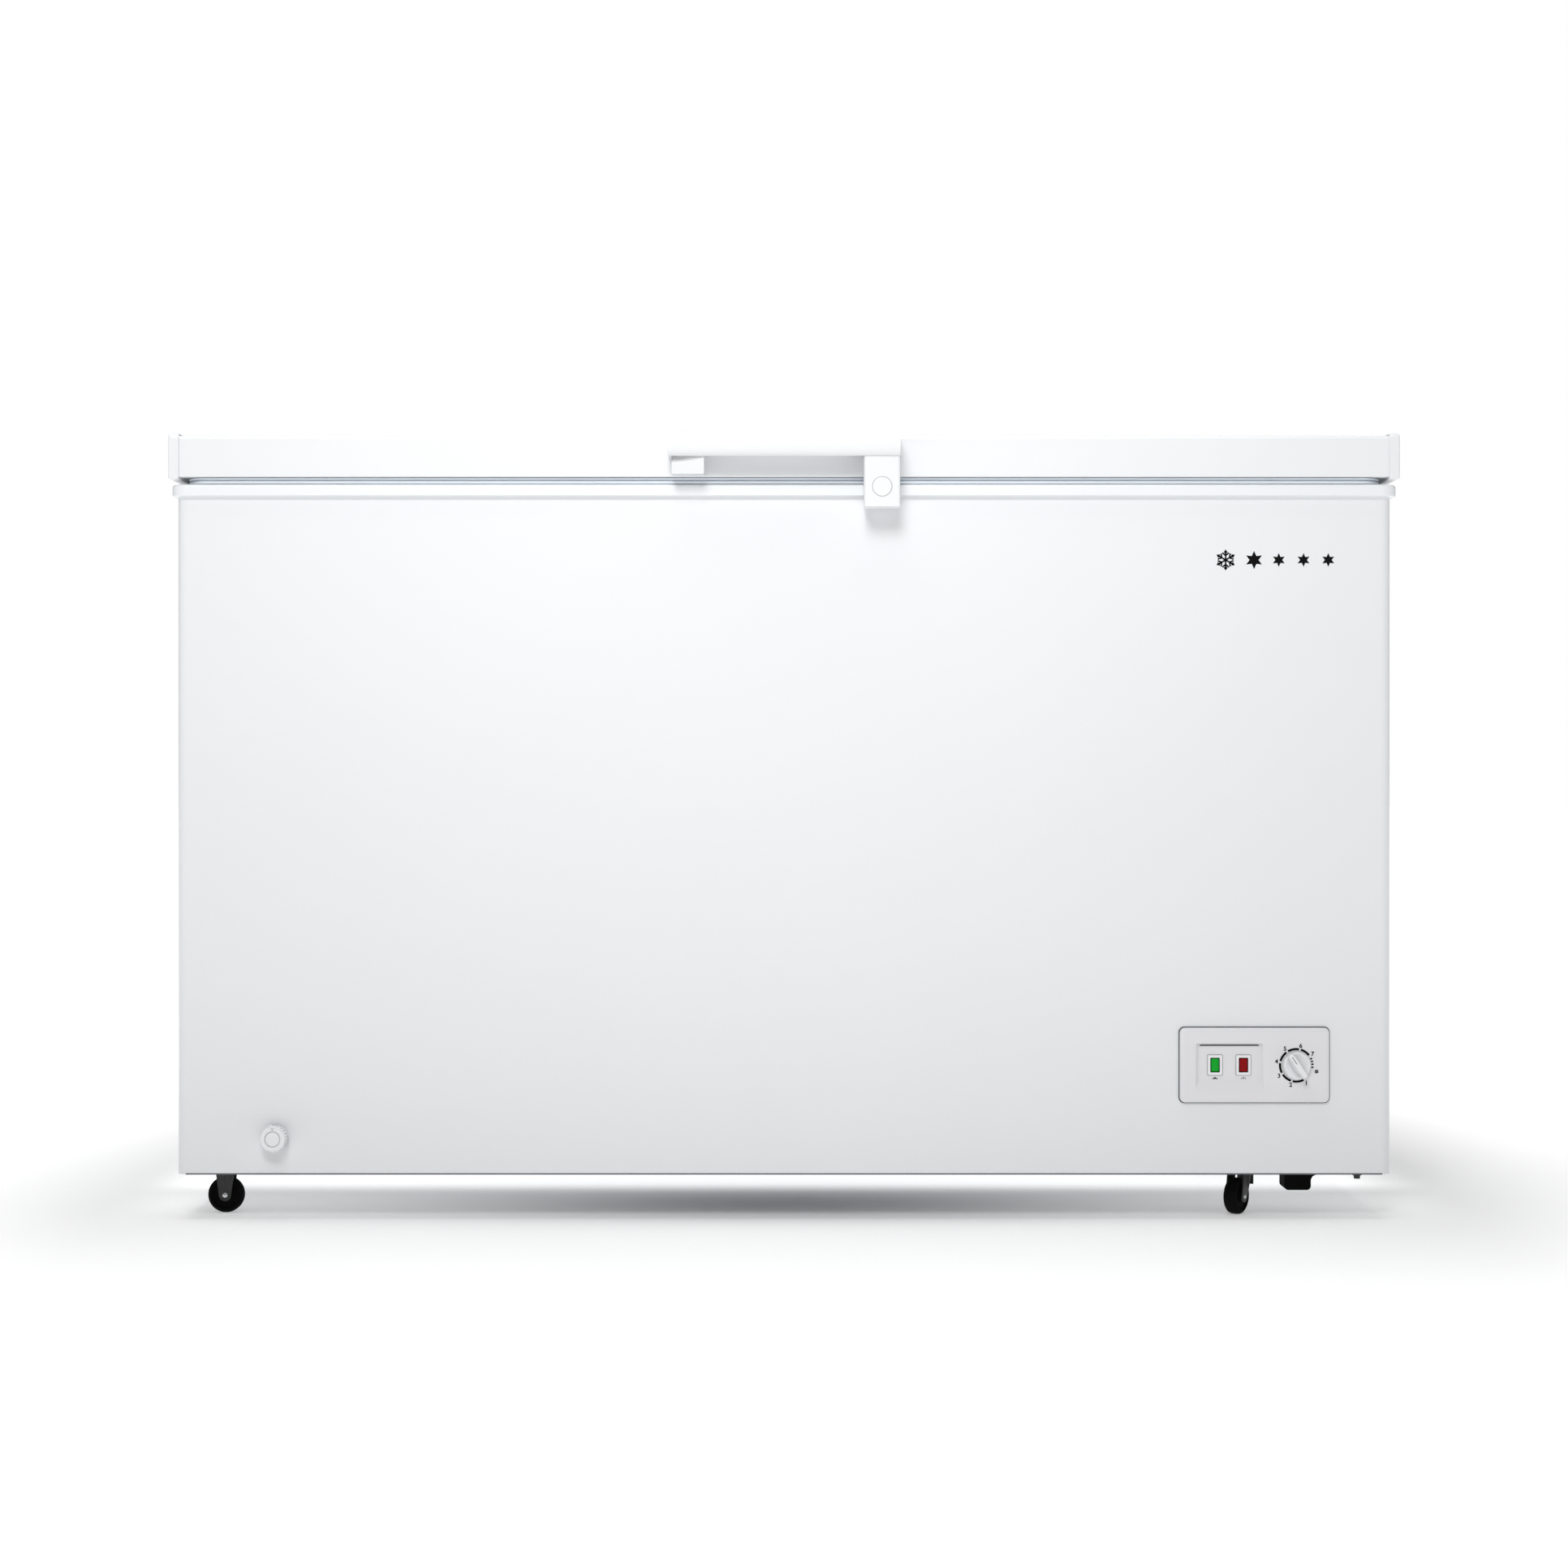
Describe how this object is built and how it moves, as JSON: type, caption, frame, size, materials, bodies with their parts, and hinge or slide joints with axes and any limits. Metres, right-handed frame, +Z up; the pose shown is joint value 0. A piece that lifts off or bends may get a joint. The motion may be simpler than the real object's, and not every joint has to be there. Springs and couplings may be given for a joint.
{
  "type": "chest freezer",
  "caption": "Chest freezer on small castors, with a counterbalanced lift-up lid, front grip, thermostat knob, pull-out drain dial, stepped tub and sliding wire basket.",
  "frame": {"origin": "on the floor under the middle of the overall box, handle and hinges included", "axes": "+X to the right seen from the front, the front faces -Y, +Z up"},
  "size_m": [1.341, 0.726, 0.858],
  "materials": {
    "white_enamel": "gloss",
    "white_plastic": "satin",
    "liner_enamel": "satin",
    "zinc_sheet": "satin",
    "bright_steel": "polished",
    "tube_alloy": "satin",
    "foam": "matte",
    "gasket_grey": "matte",
    "black_enamel": "satin",
    "black_plastic": "matte",
    "black_rubber": "matte",
    "dark_steel": "satin",
    "copper_tube": "satin",
    "green_lens": "gloss",
    "red_lens": "gloss",
    "basket_wire": "satin"
  },
  "bodies": {
    "cabinet": {"cabinet_shell": "white_enamel", "rear_panel": "zinc_sheet", "base_panel": "zinc_sheet", "inner_liner": "liner_enamel", "insulation_foam": "foam", "top_frame": "white_plastic", "evaporator_tube": "tube_alloy", "condenser_tube": "tube_alloy", "vent_grille": "white_plastic", "compressor_deck": "zinc_sheet", "compressor": "black_enamel", "compressor_grommets": "black_rubber", "relay_cover": "black_plastic", "filter_drier": "copper_tube", "refrigerant_pipes": "copper_tube", "thermostat": "black_plastic", "cord_gland": "black_plastic", "control_panel": "white_plastic", "lamp_housings": "white_plastic", "running_lamp_lens": "green_lens", "power_lamp_lens": "red_lens", "drain_sleeve": "white_plastic", "roller_brackets": "dark_steel", "roller_axles": "bright_steel", "swivel_plates": "dark_steel", "support_foot": "black_plastic", "cabinet_screws": "bright_steel", "hinge_base_left": "white_enamel", "hinge_base_right": "white_enamel", "hinge_pins": "bright_steel", "hinge_spring_left": "bright_steel", "hinge_spring_right": "bright_steel"},
    "lid": {"lid_skin": "white_enamel", "lid_end_caps": "white_plastic", "lid_inner_panel": "white_plastic", "lid_foam": "foam", "lid_gasket": "gasket_grey", "lid_screws": "bright_steel", "handle_grip": "white_plastic", "lock_housing": "white_plastic", "lock_cap": "white_plastic", "hinge_arms": "white_enamel"},
    "knob": {"thermostat_knob": "white_plastic", "thermostat_shaft": "bright_steel"},
    "drain_pull": {"drain_tube": "white_plastic"},
    "drain_dial": {"drain_dial": "white_plastic"},
    "drain_plug": {"drain_plug": "black_rubber"},
    "roller_front": {"roller_wheel_front": "black_rubber"},
    "roller_rear": {"roller_wheel_rear": "black_rubber"},
    "fork_front": {"swivel_fork_front": "dark_steel", "swivel_axle_front": "bright_steel"},
    "fork_rear": {"swivel_fork_rear": "dark_steel", "swivel_axle_rear": "bright_steel"},
    "castor_front": {"swivel_wheel_front": "black_rubber"},
    "castor_rear": {"swivel_wheel_rear": "black_rubber"},
    "plunger_left": {"hinge_plunger_left": "bright_steel"},
    "plunger_right": {"hinge_plunger_right": "bright_steel"},
    "basket": {"basket_rim": "basket_wire", "basket_floor": "basket_wire", "basket_sides": "basket_wire"}
  },
  "joints": [
    {"name": "lid_hinge", "type": "hinge", "parent": "cabinet", "child": "lid", "pos_m": [0, 0.352, 0.798], "axis": [-1, 0, 0], "range_deg": [0, 80]},
    {"name": "plunger_left_rise", "type": "slide", "parent": "cabinet", "child": "plunger_left", "axis": [0, 0, 1], "range_m": [0, 0.00539], "deforming": ["hinge_spring_left"]},
    {"name": "plunger_right_rise", "type": "slide", "parent": "cabinet", "child": "plunger_right", "axis": [0, 0, 1], "range_m": [0, 0.00539], "deforming": ["hinge_spring_right"]},
    {"name": "knob_turn", "type": "hinge", "parent": "cabinet", "child": "knob", "pos_m": [0.558, -0.317, 0.1695], "axis": [0, 1, 0], "range_deg": [-176, 140]},
    {"name": "drain_slide", "type": "slide", "parent": "cabinet", "child": "drain_pull", "axis": [0, -1, 0], "range_m": [0, 0.016]},
    {"name": "dial_turn", "type": "hinge", "parent": "drain_pull", "child": "drain_dial", "pos_m": [-0.555, -0.317, 0.0905], "axis": [0, 1, 0], "range_deg": [0, 180]},
    {"name": "plug_lift", "type": "slide", "parent": "cabinet", "child": "drain_plug", "axis": [0, 0, 1], "range_m": [0, 0.03]},
    {"name": "roller_front_spin", "type": "hinge", "parent": "cabinet", "child": "roller_front", "pos_m": [-0.62, -0.255, 0.02], "axis": [0, 1, 0], "continuous": true},
    {"name": "roller_rear_spin", "type": "hinge", "parent": "cabinet", "child": "roller_rear", "pos_m": [-0.62, 0.271, 0.02], "axis": [0, 1, 0], "continuous": true},
    {"name": "fork_front_swivel", "type": "hinge", "parent": "cabinet", "child": "fork_front", "pos_m": [0.51, -0.255, 0], "axis": [0, 0, 1], "continuous": true},
    {"name": "fork_rear_swivel", "type": "hinge", "parent": "cabinet", "child": "fork_rear", "pos_m": [0.51, 0.271, 0], "axis": [0, 0, 1], "continuous": true},
    {"name": "castor_front_spin", "type": "hinge", "parent": "fork_front", "child": "castor_front", "pos_m": [0.50105, -0.26826, 0.02], "axis": [0.829, -0.5592, 0], "continuous": true},
    {"name": "castor_rear_spin", "type": "hinge", "parent": "fork_rear", "child": "castor_rear", "pos_m": [0.50082, 0.25789, 0.02], "axis": [0.8192, -0.5736, 0], "continuous": true},
    {"name": "basket_slide", "type": "slide", "parent": "cabinet", "child": "basket", "axis": [1, 0, 0], "range_m": [-0.02, 0.824]}
  ],
  "couplings": [
    {"joint": "plunger_left_rise", "follows": "lid_hinge", "m_per_rad": 0.0035},
    {"joint": "plunger_right_rise", "follows": "lid_hinge", "m_per_rad": 0.0035}
  ]
}
